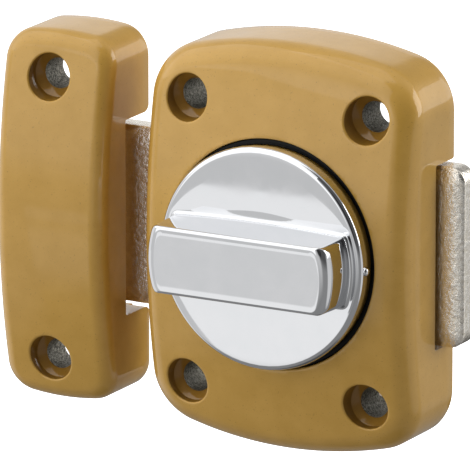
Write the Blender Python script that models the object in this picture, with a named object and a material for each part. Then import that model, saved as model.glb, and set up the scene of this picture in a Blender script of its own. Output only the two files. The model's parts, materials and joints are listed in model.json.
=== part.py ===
"""Rim bolt latch: a painted cast case with a thumb turn, a flat sliding bolt, and a separate keeper.

Everything is modelled face up in the frame of the empty "door_face": x to the right, y up the door and z out of
the door towards the room, with the knob's axis at the origin and the door's surface at z = 0. The empty stands
the latch up, so in the world +X is right, +Z is up and the room is on the -Y side. All lengths are in metres.
"""

import math

import bmesh
import bpy
from mathutils import Matrix, Vector

MM = 0.001
GAP = 0.3 * MM

# Case
CASE_HALF_WIDTH = 31.0 * MM
CASE_HALF_HEIGHT = 43.0 * MM
CASE_ARCH = 5.4 * MM
CASE_CORNER = 11.2 * MM
CASE_DEPTH = 23.6 * MM
CASE_DROP_X = 2.4 * MM
CASE_DROP_Y = 6.6 * MM
CASE_FILLET = 4.5 * MM

# Keeper
KEEPER_X = -53.3 * MM
KEEPER_HALF_WIDTH = 12.9 * MM
KEEPER_HALF_HEIGHT = 39.4 * MM
KEEPER_ARCH = 1.5 * MM
KEEPER_CORNER = 6.4 * MM
KEEPER_DEPTH = 20.8 * MM
KEEPER_DROP_X = 0.5 * MM
KEEPER_DROP_Y = 5.3 * MM
KEEPER_FILLET = 3.2 * MM
KEEPER_HOLE_X = -54.3 * MM
KEEPER_POCKET_LEFT = -63.2 * MM
KEEPER_WALL = 3.0 * MM
KEEPER_CORE_DEPTH = 15.8 * MM
KEEPER_POCKET_DEPTH = 10.1 * MM
KEEPER_POCKET_HALF_HEIGHT = 20.9 * MM

# Screw holes in the case and the keeper
HOLE_X = 20.75 * MM
HOLE_Y = 30.0 * MM
HOLE_RADIUS = 3.25 * MM
COUNTERBORE_RADIUS = 4.85 * MM
COUNTERBORE_DEPTH = 3.1 * MM
SEAT_DEPTH = 1.2 * MM

# Bolt, at rest thrown to the left
BOLT_TRAVEL = 6.5 * MM * math.pi
BOLT_HEAD = -CASE_HALF_WIDTH - BOLT_TRAVEL
BOLT_TAIL = CASE_HALF_WIDTH + 5.6 * MM
BOLT_HALF_HEIGHT = 19.0 * MM
BOLT_BACK = 1.2 * MM
BOLT_FRONT = 7.0 * MM
BOLT_EDGE = 2.2 * MM
BOLT_CORNER = 2.4 * MM
CHANNEL_HALF_HEIGHT = 19.45 * MM
CHANNEL_DEPTH = 8.2 * MM

# Rack and pinion
MODULE = 1.0 * MM
TEETH = 13
PRESSURE_ANGLE = math.radians(20.0)
PITCH_RADIUS = MODULE * TEETH / 2
TIP_RADIUS = PITCH_RADIUS + 0.9 * MODULE
ROOT_RADIUS = PITCH_RADIUS - 1.15 * MODULE
BACKLASH = 0.16 * MM
RACK_ADDENDUM = 0.8 * MM
RACK_DEDENDUM = 1.1 * MM
WINDOW_BOTTOM = -8.2 * MM
WINDOW_LEFT = -BOLT_TRAVEL - TIP_RADIUS - 1.0 * MM
WINDOW_RIGHT = TIP_RADIUS + 1.0 * MM
PINION_BACK = 1.5 * MM
PINION_FRONT = 6.9 * MM

# Guide pins and their slots in the bolt
GUIDE_PIN_X = 6.0 * MM
GUIDE_PIN_Y = 14.2 * MM
GUIDE_PIN_RADIUS = 2.0 * MM
GUIDE_SLOT_RADIUS = 2.2 * MM
GUIDE_PIN_FRONT = 11.0 * MM

# Knob, recess and hub
RECESS_RADIUS = 24.15 * MM
RECESS_FLOOR = 18.6 * MM
RING_INNER = 18.5 * MM
RING_TOP = 20.9 * MM
DISC_RADIUS = 23.4 * MM
DISC_BACK = 21.2 * MM
DISC_FRONT = 26.4 * MM
DISC_EDGE = 1.1 * MM
GRIP_FRONT = 36.3 * MM
GRIP_HALF_WIDTH = 7.1 * MM
GRIP_BASE_WIDTH = 7.8 * MM
GRIP_END_RADIUS = 21.2 * MM
GRIP_EDGE = 0.9 * MM
NIB_DEPTH = 24.8 * MM
HUB_RADIUS = 8.0 * MM
HUB_BACK = 8.2 * MM
BUSH_INNER = 8.05 * MM
BUSH_OUTER = 10.0 * MM
BUSH_BACK = 11.6 * MM
BUSH_FLANGE = 13.0 * MM
BUSH_FLANGE_TOP = 20.0 * MM
CHAMBER_RADIUS = 13.0 * MM
CHAMBER_DEPTH = 11.4 * MM
SPINDLE_HALF = 3.5 * MM
SPINDLE_FRONT = 18.0 * MM
CIRCLIP_BACK = 9.0 * MM
CIRCLIP_THICKNESS = 1.0 * MM
CIRCLIP_INNER = 7.05 * MM
CIRCLIP_OUTER = 10.6 * MM
DETENT_Y = 15.6 * MM
DETENT_BALL_RADIUS = 2.0 * MM
DETENT_BORE_RADIUS = 2.15 * MM
DETENT_BORE_BACK = 10.0 * MM

# Hollows in the case's casting, as (inner, outer) distances from the middle
SIDE_CORE_X = (19.6 * MM, 27.4 * MM)
SIDE_CORE_Y = (1.2 * MM, 18.0 * MM)
SIDE_CORE_DEPTH = 15.6 * MM

# Hollows behind the screw lands, as (inner, outer) distances from the middle of each casting
CASE_RELIEF_X = (12.2 * MM, 22.6 * MM)
CASE_RELIEF_Y = (21.0 * MM, 31.4 * MM)
CASE_RELIEF_DEPTH = 7.0 * MM
KEEPER_RELIEF_X = (-63.2 * MM, -44.4 * MM)
KEEPER_RELIEF_Y = (22.6 * MM, 36.4 * MM)
KEEPER_RELIEF_DEPTH = 6.0 * MM

# Back plate and its screws
PLATE_HALF_WIDTH = 27.4 * MM
PLATE_HALF_HEIGHT = 26.6 * MM
PLATE_THICKNESS = 1.0 * MM
PLATE_CORNER_X = 11.9 * MM
PLATE_CORNER_Y = 20.6 * MM
PLATE_SCREW_X = 9.0 * MM
PLATE_SCREW_Y = 23.2 * MM
PLATE_SCREW_RADIUS = 1.25 * MM
PLATE_SCREW_HEAD = 2.4 * MM
PLATE_SCREW_LENGTH = 8.0 * MM

ROUND = 40
FINE_ROUND = 72
OUTLINE_ARC = 8
OUTLINE_CORNER = 6


def clear_scene():
    for item in list(bpy.data.objects):
        bpy.data.objects.remove(item, do_unlink=True)


def new_collection(name):
    collection = bpy.data.collections.new(name)
    bpy.context.scene.collection.children.link(collection)
    return collection


def material(name, colour, roughness, metallic):
    made = bpy.data.materials.new(name)
    made.use_nodes = True
    shader = made.node_tree.nodes["Principled BSDF"]
    shader.inputs["Base Color"].default_value = (*colour, 1.0)
    shader.inputs["Roughness"].default_value = roughness
    shader.inputs["Metallic"].default_value = metallic
    made.diffuse_color = (*colour, 1.0)
    return made


class Workshop:
    """Keeps the two collections, the frame empty and the knob's axis empty together."""

    def __init__(self):
        self.parts = new_collection("rim_bolt_latch")
        self.cutters = new_collection("cutters")
        self.frame = bpy.data.objects.new("door_face", None)
        self.frame.rotation_euler = (math.pi / 2, 0.0, 0.0)
        self.parts.objects.link(self.frame)
        self.knob_axis = bpy.data.objects.new("knob_axis", None)
        self.knob_axis.parent = self.frame
        self.parts.objects.link(self.knob_axis)

    def part(self, name, mesh, finish, parent=None, at=(0.0, 0.0, 0.0)):
        made = bpy.data.objects.new(name, mesh)
        made.parent = parent or self.frame
        made.location = at
        if not mesh.materials:
            mesh.materials.append(finish)
        self.parts.objects.link(made)
        return made

    def cutter(self, name, mesh, at=(0.0, 0.0, 0.0)):
        made = bpy.data.objects.new(name, mesh)
        made.parent = self.frame
        made.location = at
        made.hide_render = True
        made.display_type = "WIRE"
        self.cutters.objects.link(made)
        return made


def as_mesh(bm, name, smooth_angle=30.0):
    bmesh.ops.recalc_face_normals(bm, faces=bm.faces)
    mesh = bpy.data.meshes.new(name)
    bm.to_mesh(mesh)
    bm.free()
    mesh.shade_smooth()
    mesh.set_sharp_from_angle(angle=math.radians(smooth_angle))
    return mesh


def boolean(target, tool, operation="DIFFERENCE"):
    step = target.modifiers.new(f"{operation.lower()}_{tool.name}", "BOOLEAN")
    step.operation = operation
    step.solver = "EXACT"
    step.object = tool


def box_mesh(name, low, high):
    """A box between two corners."""
    bm = bmesh.new()
    bmesh.ops.create_cube(bm, size=1.0)
    low = Vector(low)
    high = Vector(high)
    for vert in bm.verts:
        vert.co = (low + high) / 2 + Vector(c * s for c, s in zip(vert.co, high - low))
    return as_mesh(bm, name)


def quarter_box(name, side, lift, across, along, depths):
    """A box in one quarter: its distances from the middle run across and along, side and lift are -1 or 1."""
    xs = sorted(side * value for value in across)
    ys = sorted(lift * value for value in along)
    return box_mesh(name, (xs[0], ys[0], depths[0]), (xs[1], ys[1], depths[1]))


def cylinder_mesh(name, radius, low, high, segments=ROUND, top_radius=None):
    """A cylinder or cone round z, from z = low to z = high."""
    bm = bmesh.new()
    bmesh.ops.create_cone(
        bm,
        cap_ends=True,
        segments=segments,
        radius1=radius,
        radius2=radius if top_radius is None else top_radius,
        depth=high - low,
        matrix=Matrix.Translation((0.0, 0.0, (low + high) / 2)),
    )
    return as_mesh(bm, name)


def turned_mesh(name, profile, segments=ROUND):
    """A closed ring turned round z from (radius, z) points that run down its outer side."""
    bm = bmesh.new()
    verts = [bm.verts.new((radius, 0.0, z)) for radius, z in profile]
    edges = [bm.edges.new((verts[i], verts[(i + 1) % len(verts)])) for i in range(len(verts))]
    bmesh.ops.spin(
        bm,
        geom=verts + edges,
        cent=(0.0, 0.0, 0.0),
        axis=(0.0, 0.0, 1.0),
        angle=2 * math.pi,
        steps=segments,
        use_merge=True,
    )
    bmesh.ops.remove_doubles(bm, verts=bm.verts, dist=0.01 * MM)
    return as_mesh(bm, name)


def arched_outline(half_width, half_height, arch, corner, inset):
    """Points round a rectangle with arched top and bottom and round corners, moved in by inset."""
    arch_radius = (half_width**2 + arch**2) / (2 * arch)
    arch_centre = half_height - arch_radius
    corner_x = half_width - corner
    corner_y = arch_centre + math.sqrt((arch_radius - corner) ** 2 - corner_x**2)
    blend = math.atan2(corner_y - arch_centre, corner_x)
    quarter = []
    for i in range(OUTLINE_CORNER):
        angle = blend * i / OUTLINE_CORNER
        radius = corner - inset
        quarter.append((corner_x + radius * math.cos(angle), corner_y + radius * math.sin(angle)))
    for i in range(OUTLINE_ARC + 1):
        angle = blend + (math.pi / 2 - blend) * i / OUTLINE_ARC
        radius = arch_radius - inset
        quarter.append((radius * math.cos(angle), arch_centre + radius * math.sin(angle)))
    half = quarter + [(-x, y) for x, y in reversed(quarter[:-1])]
    return half + [(-x, -y) for x, y in half]


def crowned_body(name, half_width, half_height, arch, corner, depth, drop_x, drop_y, fillet):
    """A casting's outer form: straight sides, a rounded front edge and a front crowned both ways."""

    def front(x, y):
        return depth - drop_x * (x / half_width) ** 2 - drop_y * (y / half_height) ** 2

    rings = [[(x, y, 0.0) for x, y in arched_outline(half_width, half_height, arch, corner, 0.0)]]
    fillet_steps = 5
    for i in range(fillet_steps + 1):
        turn = math.pi / 2 * i / fillet_steps
        outline = arched_outline(half_width, half_height, arch, corner, fillet * (1 - math.cos(turn)))
        rings.append([(x, y, front(x, y) - fillet + fillet * math.sin(turn)) for x, y in outline])
    edge = arched_outline(half_width, half_height, arch, corner, fillet)
    for share in (0.84, 0.66, 0.46, 0.24):
        rings.append([(x * share, y * share, front(x * share, y * share)) for x, y in edge])

    bm = bmesh.new()
    loops = []
    for ring in rings:
        verts = [bm.verts.new(point) for point in ring]
        loops.append([bm.edges.new((verts[i - 1], verts[i])) for i in range(len(verts))])
    for lower, upper in zip(loops, loops[1:]):
        bmesh.ops.bridge_loops(bm, edges=lower + upper)
    bmesh.ops.edgeloop_fill(bm, edges=loops[0])
    bmesh.ops.edgeloop_fill(bm, edges=loops[-1])
    bmesh.ops.poke(bm, faces=[f for f in bm.faces if len(f.verts) > 4 and f.calc_center_median().z > fillet])
    for vert in bm.verts:
        if vert.co.xy.length < MM and vert.co.z > fillet:
            vert.co.z = depth
    return as_mesh(bm, name, 40.0)


def front_at(x, y, half_width, half_height, depth, drop_x, drop_y):
    return depth - drop_x * (x / half_width) ** 2 - drop_y * (y / half_height) ** 2


def cut_screw_hole(shop, target, x, y, surface, label):
    """A round counterbore with a coned seat, and a clearance hole through to the back."""
    seat = surface - COUNTERBORE_DEPTH
    profile_bore = cylinder_mesh(f"{label}_counterbore", COUNTERBORE_RADIUS, seat, surface + 5 * MM, ROUND)
    boolean(target, shop.cutter(f"{label}_counterbore", profile_bore, (x, y, 0.0)))
    cone = cylinder_mesh(f"{label}_seat", HOLE_RADIUS, seat - SEAT_DEPTH, seat + GAP, ROUND, COUNTERBORE_RADIUS)
    boolean(target, shop.cutter(f"{label}_seat", cone, (x, y, 0.0)))
    through = cylinder_mesh(f"{label}_through", HOLE_RADIUS, -MM, seat, ROUND)
    boolean(target, shop.cutter(f"{label}_through", through, (x, y, 0.0)))


def rounded_bar(name, low, high, corner, edge, corner_steps=4, edge_steps=3):
    """A flat bar from corner low to corner high: round corners in plan and rounded long edges."""
    bm = bmesh.new()
    bmesh.ops.create_cube(bm, size=1.0)
    low = Vector(low)
    high = Vector(high)
    for vert in bm.verts:
        vert.co = (low + high) / 2 + Vector(c * s for c, s in zip(vert.co, high - low))
    upright = [e for e in bm.edges if abs(e.verts[0].co.z - e.verts[1].co.z) > MM]
    bmesh.ops.bevel(bm, geom=upright, offset=corner, segments=corner_steps, profile=0.5, affect="EDGES")
    top = [e for e in bm.edges if all(v.co.z > high.z - 0.01 * MM for v in e.verts)]
    bmesh.ops.bevel(bm, geom=top, offset=edge, segments=edge_steps, profile=0.5, affect="EDGES")
    return as_mesh(bm, name, 40.0)


def involute_angle(radius):
    base = PITCH_RADIUS * math.cos(PRESSURE_ANGLE)
    pressure = math.acos(min(1.0, base / radius))
    return math.tan(pressure) - pressure


def pinion_mesh(name):
    """A spur pinion whose tooth gap points straight up, in mesh with the rack tooth at x = 0."""
    base = PITCH_RADIUS * math.cos(PRESSURE_ANGLE)
    half_tooth = math.pi / (2 * TEETH) - BACKLASH / (2 * PITCH_RADIUS)
    flank = [max(base, ROOT_RADIUS) + (TIP_RADIUS - base) * i / 4 for i in range(5)]
    points = []
    for tooth in range(TEETH):
        middle = math.pi / 2 + 2 * math.pi * (tooth + 0.5) / TEETH
        offsets = [(radius, half_tooth + involute_angle(PITCH_RADIUS) - involute_angle(radius)) for radius in flank]
        side = [(ROOT_RADIUS, offsets[0][1])] + offsets
        for radius, offset in side:
            points.append((radius, middle - offset))
        for radius, offset in reversed(side):
            points.append((radius, middle + offset))
    bm = bmesh.new()
    verts = [bm.verts.new((r * math.cos(a), r * math.sin(a), PINION_BACK)) for r, a in points]
    face = bm.faces.new(verts)
    raised = bmesh.ops.extrude_face_region(bm, geom=[face])["geom"]
    for item in raised:
        if isinstance(item, bmesh.types.BMVert):
            item.co.z = PINION_FRONT
    return as_mesh(bm, name)


def window_mesh(name):
    """The bolt's window as a cutter: its top edge is the rack, with a rack tooth at x = 0."""
    pitch = math.pi * MODULE
    slope = math.tan(PRESSURE_ANGLE)
    tip = PITCH_RADIUS - RACK_ADDENDUM
    root = PITCH_RADIUS + RACK_DEDENDUM
    half_tip = pitch / 4 - RACK_ADDENDUM * slope
    half_root = pitch / 4 + RACK_DEDENDUM * slope
    first = math.ceil((WINDOW_LEFT + half_root) / pitch)
    last = math.floor((WINDOW_RIGHT - half_root) / pitch)
    outline = [(WINDOW_RIGHT, WINDOW_BOTTOM), (WINDOW_RIGHT, root)]
    for tooth in range(last, first - 1, -1):
        centre = tooth * pitch
        outline.append((centre + half_root, root))
        outline.append((centre + half_tip, tip))
        outline.append((centre - half_tip, tip))
        outline.append((centre - half_root, root))
    outline.append((WINDOW_LEFT, root))
    outline.append((WINDOW_LEFT, WINDOW_BOTTOM))
    bm = bmesh.new()
    face = bm.faces.new([bm.verts.new((x, y, -MM)) for x, y in outline])
    raised = bmesh.ops.extrude_face_region(bm, geom=[face])["geom"]
    for item in raised:
        if isinstance(item, bmesh.types.BMVert):
            item.co.z = BOLT_FRONT + MM
    return as_mesh(bm, name)


def slot_mesh(name, left, right, y, radius, low, high):
    """A slot with round ends, as a cutter."""
    bm = bmesh.new()
    verts = []
    half_turn = 12
    for centre, start in ((right, -math.pi / 2), (left, math.pi / 2)):
        for i in range(half_turn + 1):
            angle = start + math.pi * i / half_turn
            verts.append(bm.verts.new((centre + radius * math.cos(angle), y + radius * math.sin(angle), low)))
    face = bm.faces.new(verts)
    raised = bmesh.ops.extrude_face_region(bm, geom=[face])["geom"]
    for item in raised:
        if isinstance(item, bmesh.types.BMVert):
            item.co.z = high
    return as_mesh(bm, name)


def make_case(shop, paint):
    size = (CASE_HALF_WIDTH, CASE_HALF_HEIGHT, CASE_ARCH, CASE_CORNER)
    crown = (CASE_DEPTH, CASE_DROP_X, CASE_DROP_Y)
    case = shop.part("case_shell", crowned_body("case_shell", *size, *crown, CASE_FILLET), paint)

    reach = CASE_HALF_WIDTH + 5 * MM
    channel = box_mesh("channel", (-reach, -CHANNEL_HALF_HEIGHT, -MM), (reach, CHANNEL_HALF_HEIGHT, CHANNEL_DEPTH))
    boolean(case, shop.cutter("channel", channel))
    plate_low = (-PLATE_HALF_WIDTH - GAP, -PLATE_HALF_HEIGHT - GAP, -MM)
    plate_high = (PLATE_HALF_WIDTH + GAP, PLATE_HALF_HEIGHT + GAP, PLATE_THICKNESS + 0.05 * MM)
    boolean(case, shop.cutter("plate_seat", box_mesh("plate_seat", plate_low, plate_high)))

    recess = cylinder_mesh("recess", RECESS_RADIUS, RECESS_FLOOR, CASE_DEPTH + 5 * MM, FINE_ROUND)
    boolean(case, shop.cutter("recess", recess))
    bush_seat = cylinder_mesh("bush_seat", BUSH_FLANGE + GAP, BUSH_FLANGE_TOP - 1.7 * MM, RECESS_FLOOR + MM, ROUND)
    boolean(case, shop.cutter("bush_seat", bush_seat))
    bore = cylinder_mesh("hub_bore", BUSH_OUTER + 0.05 * MM, CHAMBER_DEPTH - MM, RECESS_FLOOR + MM, ROUND)
    boolean(case, shop.cutter("hub_bore", bore))
    chamber = cylinder_mesh("chamber", CHAMBER_RADIUS, CHANNEL_DEPTH - MM, CHAMBER_DEPTH, ROUND)
    boolean(case, shop.cutter("chamber", chamber))
    detent = cylinder_mesh("detent_bore", DETENT_BORE_RADIUS, DETENT_BORE_BACK, RECESS_FLOOR + MM, 24)
    boolean(case, shop.cutter("detent_bore", detent, (0.0, DETENT_Y, 0.0)))

    for y in (-GUIDE_PIN_Y, GUIDE_PIN_Y):
        socket = cylinder_mesh("pin_socket", GUIDE_PIN_RADIUS + 0.02 * MM, CHANNEL_DEPTH - MM, GUIDE_PIN_FRONT, 24)
        boolean(case, shop.cutter("pin_socket", socket, (GUIDE_PIN_X, y, 0.0)))
    for x in (-PLATE_SCREW_X, PLATE_SCREW_X):
        for y in (-PLATE_SCREW_Y, PLATE_SCREW_Y):
            tapped = cylinder_mesh("plate_screw_hole", PLATE_SCREW_RADIUS + 0.03 * MM, 0.0, 9.5 * MM, 16)
            boolean(case, shop.cutter("plate_screw_hole", tapped, (x, y, 0.0)))
    for side in (-1, 1):
        for lift in (-1, 1):
            depths = (CHANNEL_DEPTH - MM, SIDE_CORE_DEPTH)
            core = quarter_box("side_core", side, lift, SIDE_CORE_X, SIDE_CORE_Y, depths)
            boolean(case, shop.cutter("side_core", core))
            depths = (-MM, CASE_RELIEF_DEPTH)
            relief = quarter_box("screw_relief", side, lift, CASE_RELIEF_X, CASE_RELIEF_Y, depths)
            boolean(case, shop.cutter("screw_relief", relief))
        for column in (-9.6, 0.0, 9.6):
            low = ((column - 4.2) * MM, min(side * 28.4, side * 38.0) * MM, -MM)
            high = ((column + 4.2) * MM, max(side * 28.4, side * 38.0) * MM, 14.2 * MM)
            boolean(case, shop.cutter("end_core", box_mesh("end_core", low, high)))

    for i, (x, y) in enumerate(((-1, 1), (1, 1), (-1, -1), (1, -1))):
        surface = front_at(HOLE_X, HOLE_Y, CASE_HALF_WIDTH, CASE_HALF_HEIGHT, *crown)
        cut_screw_hole(shop, case, x * HOLE_X, y * HOLE_Y, surface, f"case_hole_{i + 1}")
    return case


def make_keeper(shop, paint):
    size = (KEEPER_HALF_WIDTH, KEEPER_HALF_HEIGHT, KEEPER_ARCH, KEEPER_CORNER)
    crown = (KEEPER_DEPTH, KEEPER_DROP_X, KEEPER_DROP_Y)
    mesh = crowned_body("keeper", *size, *crown, KEEPER_FILLET)
    keeper = shop.part("keeper", mesh, paint, at=(KEEPER_X, 0.0, 0.0))
    right = KEEPER_X + KEEPER_HALF_WIDTH
    low = (KEEPER_POCKET_LEFT, -KEEPER_POCKET_HALF_HEIGHT, -MM)
    high = (right + MM, KEEPER_POCKET_HALF_HEIGHT, KEEPER_POCKET_DEPTH)
    boolean(keeper, shop.cutter("bolt_pocket", box_mesh("bolt_pocket", low, high)))
    core_low = (KEEPER_POCKET_LEFT, -KEEPER_POCKET_HALF_HEIGHT, 0.0)
    core_high = (right - KEEPER_WALL, KEEPER_POCKET_HALF_HEIGHT, KEEPER_CORE_DEPTH)
    boolean(keeper, shop.cutter("keeper_core", box_mesh("keeper_core", core_low, core_high)))
    for lift in (-1, 1):
        offset = KEEPER_HOLE_X - KEEPER_X
        surface = front_at(offset, HOLE_Y, KEEPER_HALF_WIDTH, KEEPER_HALF_HEIGHT, *crown)
        cut_screw_hole(shop, keeper, KEEPER_HOLE_X, lift * HOLE_Y, surface, f"keeper_hole_{(lift + 3) // 2}")
        depths = (-MM, KEEPER_RELIEF_DEPTH)
        relief = quarter_box("screw_relief", 1, lift, KEEPER_RELIEF_X, KEEPER_RELIEF_Y, depths)
        boolean(keeper, shop.cutter("screw_relief", relief))
    return keeper


def make_back_plate(shop, steel, screw_steel):
    low = (-PLATE_HALF_WIDTH, -PLATE_HALF_HEIGHT, 0.0)
    high = (PLATE_HALF_WIDTH, PLATE_HALF_HEIGHT, PLATE_THICKNESS)
    plate = shop.part("back_plate", box_mesh("back_plate", low, high), steel)
    for side in (-1, 1):
        for lift in (-1, 1):
            across = (PLATE_CORNER_X, PLATE_HALF_WIDTH + MM)
            along = (PLATE_CORNER_Y, PLATE_HALF_HEIGHT + MM)
            corner = quarter_box("corner_notch", side, lift, across, along, (-MM, 3 * MM))
            boolean(plate, shop.cutter("corner_notch", corner))
    number = 0
    for x in (-PLATE_SCREW_X, PLATE_SCREW_X):
        for y in (PLATE_SCREW_Y, -PLATE_SCREW_Y):
            number += 1
            sink = cylinder_mesh(
                "countersink",
                PLATE_SCREW_HEAD + 0.6 * MM,
                -0.5 * MM,
                PLATE_THICKNESS + 0.05 * MM,
                24,
                PLATE_SCREW_RADIUS + 0.4 * MM,
            )
            boolean(plate, shop.cutter("countersink", sink, (x, y, 0.0)))
            make_plate_screw(shop, screw_steel, f"back_plate_screw_{number}", x, y)
    return plate


def make_plate_screw(shop, steel, name, x, y):
    """A countersunk screw with a cross slot, its head flush with the plate's outer face."""
    bm = bmesh.new()
    profile = (
        (0.0, 0.1 * MM),
        (PLATE_SCREW_HEAD, 0.1 * MM),
        (PLATE_SCREW_RADIUS, PLATE_THICKNESS + 0.1 * MM),
        (PLATE_SCREW_RADIUS, PLATE_SCREW_LENGTH - MM),
        (0.0, PLATE_SCREW_LENGTH),
    )
    verts = [bm.verts.new((radius, 0.0, z)) for radius, z in profile]
    edges = [bm.edges.new(pair) for pair in zip(verts, verts[1:])]
    bmesh.ops.spin(
        bm,
        geom=verts + edges,
        cent=(0.0, 0.0, 0.0),
        axis=(0.0, 0.0, 1.0),
        angle=2 * math.pi,
        steps=16,
        use_merge=True,
    )
    bmesh.ops.remove_doubles(bm, verts=bm.verts, dist=0.01 * MM)
    screw = shop.part(name, as_mesh(bm, name), steel, at=(x, y, 0.0))
    for turn in (0.0, math.pi / 2):
        half = Vector((1.4 * MM, 0.32 * MM)) if turn == 0.0 else Vector((0.32 * MM, 1.4 * MM))
        slot = box_mesh("drive_slot", (-half.x, -half.y, -MM), (half.x, half.y, 0.6 * MM))
        boolean(screw, shop.cutter("drive_slot", slot, (x, y, 0.0)))


def make_bolt(shop, nickel):
    low = (BOLT_HEAD, -BOLT_HALF_HEIGHT, BOLT_BACK)
    high = (BOLT_TAIL, BOLT_HALF_HEIGHT, BOLT_FRONT)
    bolt = shop.part("bolt", rounded_bar("bolt", low, high, BOLT_CORNER, BOLT_EDGE), nickel)
    boolean(bolt, shop.cutter("rack_window", window_mesh("rack_window")))
    left = GUIDE_PIN_X - BOLT_TRAVEL - 0.2 * MM
    right = GUIDE_PIN_X + 0.2 * MM
    for y in (-GUIDE_PIN_Y, GUIDE_PIN_Y):
        slot = slot_mesh("guide_slot", left, right, y, GUIDE_SLOT_RADIUS, -MM, BOLT_FRONT + MM)
        boolean(bolt, shop.cutter("guide_slot", slot))
    return bolt


def make_guide_pins(shop, steel):
    for name, y in (("guide_pin_upper", GUIDE_PIN_Y), ("guide_pin_lower", -GUIDE_PIN_Y)):
        mesh = cylinder_mesh(name, GUIDE_PIN_RADIUS, PLATE_THICKNESS + 0.1 * MM, GUIDE_PIN_FRONT - 0.1 * MM, 24)
        shop.part(name, mesh, steel, at=(GUIDE_PIN_X, y, 0.0))


def grip_mesh(name):
    """The knob's bar: flat sides that draw in towards the front, and ends round like the disc."""
    bm = bmesh.new()
    rings = []
    end_steps = 6
    for half, z in ((GRIP_BASE_WIDTH, DISC_FRONT - 1.5 * MM), (GRIP_HALF_WIDTH, GRIP_FRONT)):
        ring = []
        for side in (1, -1):
            reach = math.asin(half / GRIP_END_RADIUS)
            for i in range(end_steps + 1):
                angle = -reach + 2 * reach * i / end_steps
                ring.append((side * GRIP_END_RADIUS * math.cos(angle), side * GRIP_END_RADIUS * math.sin(angle), z))
        rings.append([bm.verts.new(point) for point in ring])
    loops = [[bm.edges.new((ring[i - 1], ring[i])) for i in range(len(ring))] for ring in rings]
    bmesh.ops.bridge_loops(bm, edges=loops[0] + loops[1])
    for loop in loops:
        bmesh.ops.edgeloop_fill(bm, edges=loop)
    front = [e for e in bm.edges if all(v.co.z > GRIP_FRONT - 0.01 * MM for v in e.verts)]
    bmesh.ops.bevel(bm, geom=front, offset=GRIP_EDGE, segments=3, profile=0.5, affect="EDGES")
    return as_mesh(bm, name, 40.0)


def make_knob(shop, chrome):
    """Disc, hub and bar in one casting, with a small nib on the disc's edge in line with the bar."""
    steps = 3
    rim = [
        (
            DISC_RADIUS - DISC_EDGE + DISC_EDGE * math.sin(math.pi / 2 * i / steps),
            DISC_FRONT - DISC_EDGE + DISC_EDGE * math.cos(math.pi / 2 * i / steps),
        )
        for i in range(steps + 1)
    ]
    groove_front = CIRCLIP_BACK + CIRCLIP_THICKNESS + 0.1 * MM
    profile = [
        (0.0, DISC_FRONT),
        *rim,
        (DISC_RADIUS, DISC_BACK),
        (HUB_RADIUS, DISC_BACK),
        (HUB_RADIUS, groove_front),
        (CIRCLIP_INNER - 0.05 * MM, groove_front),
        (CIRCLIP_INNER - 0.05 * MM, CIRCLIP_BACK - 0.1 * MM),
        (HUB_RADIUS, CIRCLIP_BACK - 0.1 * MM),
        (HUB_RADIUS, HUB_BACK),
        (0.0, HUB_BACK),
    ]
    bm = bmesh.new()
    verts = [bm.verts.new((radius, 0.0, z)) for radius, z in profile]
    edges = [bm.edges.new(pair) for pair in zip(verts, verts[1:])]
    bmesh.ops.spin(
        bm,
        geom=verts + edges,
        cent=(0.0, 0.0, 0.0),
        axis=(0.0, 0.0, 1.0),
        angle=2 * math.pi,
        steps=FINE_ROUND,
        use_merge=True,
    )
    bmesh.ops.remove_doubles(bm, verts=bm.verts, dist=0.01 * MM)
    knob = shop.part("thumb_knob", as_mesh(bm, "thumb_knob"), chrome, parent=shop.knob_axis)
    boolean(knob, shop.cutter("grip", grip_mesh("grip")), "UNION")
    nib = cylinder_mesh("nib", 0.75 * MM, -0.5 * MM, 0.75 * MM, 16, 0.5 * MM)
    nib_piece = shop.cutter("nib", nib, (DISC_RADIUS, 0.0, NIB_DEPTH))
    nib_piece.rotation_euler = (0.0, math.pi / 2, 0.0)
    boolean(knob, nib_piece, "UNION")

    half = SPINDLE_HALF + 0.05 * MM
    socket = box_mesh("spindle_socket", (-half, -half, HUB_BACK - MM), (half, half, SPINDLE_FRONT + 0.2 * MM))
    boolean(knob, shop.cutter("spindle_socket", socket))
    pin_hole = cylinder_mesh("pin_hole", 1.05 * MM, -9 * MM, 9 * MM, 16)
    pin_hole_piece = shop.cutter("pin_hole", pin_hole, (0.0, 0.0, 14.5 * MM))
    pin_hole_piece.rotation_euler = (math.pi / 2, 0.0, 0.0)
    boolean(knob, pin_hole_piece)
    for side in (-1, 1):
        dimple = bmesh.new()
        bmesh.ops.create_uvsphere(dimple, u_segments=16, v_segments=12, radius=DETENT_BALL_RADIUS + 0.2 * MM)
        place = (0.0, side * DETENT_Y, DISC_BACK - DETENT_BALL_RADIUS + 0.15 * MM)
        boolean(knob, shop.cutter("detent_dimple", as_mesh(dimple, "detent_dimple"), place))
    return pin_hole_piece


def make_drive(shop, steel, brass, pin_hole):
    half = SPINDLE_HALF
    spindle_mesh = box_mesh("spindle", (-half, -half, PINION_BACK - 0.2 * MM), (half, half, SPINDLE_FRONT))
    spindle = shop.part("spindle", spindle_mesh, steel, parent=shop.knob_axis)
    boolean(spindle, pin_hole)
    pin_mesh = cylinder_mesh("drive_pin", 1.0 * MM, -7.8 * MM, 7.8 * MM, 16)
    pin = shop.part("drive_pin", pin_mesh, steel, parent=shop.knob_axis, at=(0.0, 0.0, 14.5 * MM))
    pin.rotation_euler = (math.pi / 2, 0.0, 0.0)
    pinion = shop.part("pinion", pinion_mesh("pinion"), brass, parent=shop.knob_axis)
    square = half + 0.05 * MM
    bore = box_mesh("pinion_bore", (-square, -square, 0.0), (square, square, 9 * MM))
    boolean(pinion, shop.cutter("pinion_bore", bore))


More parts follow.
